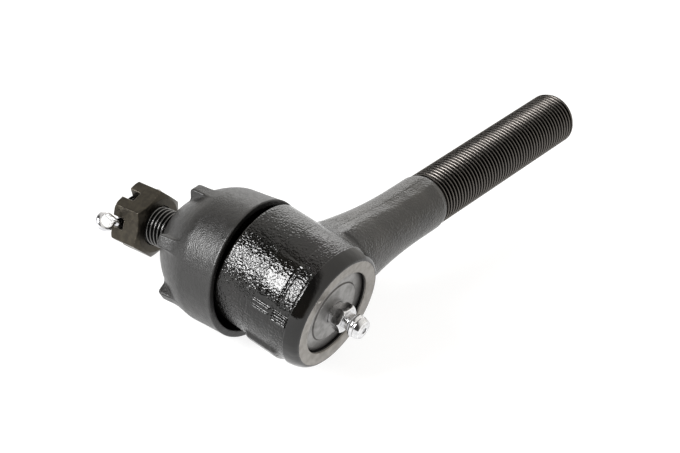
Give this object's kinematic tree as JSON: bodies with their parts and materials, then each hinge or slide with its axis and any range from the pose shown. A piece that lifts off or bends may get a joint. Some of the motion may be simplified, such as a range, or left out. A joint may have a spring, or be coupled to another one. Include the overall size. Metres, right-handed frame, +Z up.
{
  "type": "tie rod end",
  "caption": "Steering tie rod end: forged socket on a threaded shank, tapered ball stud that swings and turns, dust boot, slotted nut with cotter pin, and grease fitting.",
  "frame": {"origin": "centre of the ball, where the socket axis, the stud axis and the shank axis meet", "axes": "+X along the shank towards its threaded end, +Y along the socket axis towards the stud side, +Z up with the part lying on its side"},
  "size_m": [0.1486, 0.083, 0.0418],
  "materials": {
    "housing_black": "gloss black paint over forging skin",
    "plate_steel": "satin grey pressed steel",
    "fitting_zinc": "bright zinc plate",
    "bearing_steel": "ground bearing steel",
    "cup_steel": "sintered steel",
    "spring_steel": "oiled spring steel",
    "stud_steel": "machined and oiled steel",
    "boot_rubber": "matt moulded rubber",
    "nut_oxide": "brown-black oxide",
    "cotter_zinc": "bright zinc plate"
  },
  "bodies": {
    "housing": {"socket_housing": "housing_black", "closure_plate": "plate_steel", "grease_fitting_body": "fitting_zinc", "grease_fitting_spring": "spring_steel", "preload_spring": "spring_steel"},
    "check_ball": {"grease_fitting_ball": "bearing_steel"},
    "cup": {"pressure_cup": "cup_steel"},
    "rocker": {"half_ball": "bearing_steel", "dust_boot": "boot_rubber"},
    "stud": {"ball_stud": "stud_steel", "castle_nut": "nut_oxide", "cotter_pin": "cotter_zinc"}
  },
  "joints": [
    {"name": "swivel_turn", "type": "hinge", "parent": "housing", "child": "cup", "pos_m": [0, 0, 0], "axis": [0, 1, 0], "continuous": true},
    {"name": "stud_tilt", "type": "hinge", "parent": "cup", "child": "rocker", "pos_m": [0, 0, 0], "axis": [1, 0, 0], "range_deg": [-11.5, 32.5], "deforming": ["dust_boot"]},
    {"name": "stud_spin", "type": "hinge", "parent": "rocker", "child": "stud", "pos_m": [0, 0, 0], "axis": [0, 0.9833, -0.1822], "continuous": true},
    {"name": "check_ball_press", "type": "slide", "parent": "housing", "child": "check_ball", "axis": [0, 1, 0], "range_m": [0, 0.0008], "stiffness_N_per_m": 300, "springref_m": -0.001, "deforming": ["grease_fitting_spring"]}
  ]
}
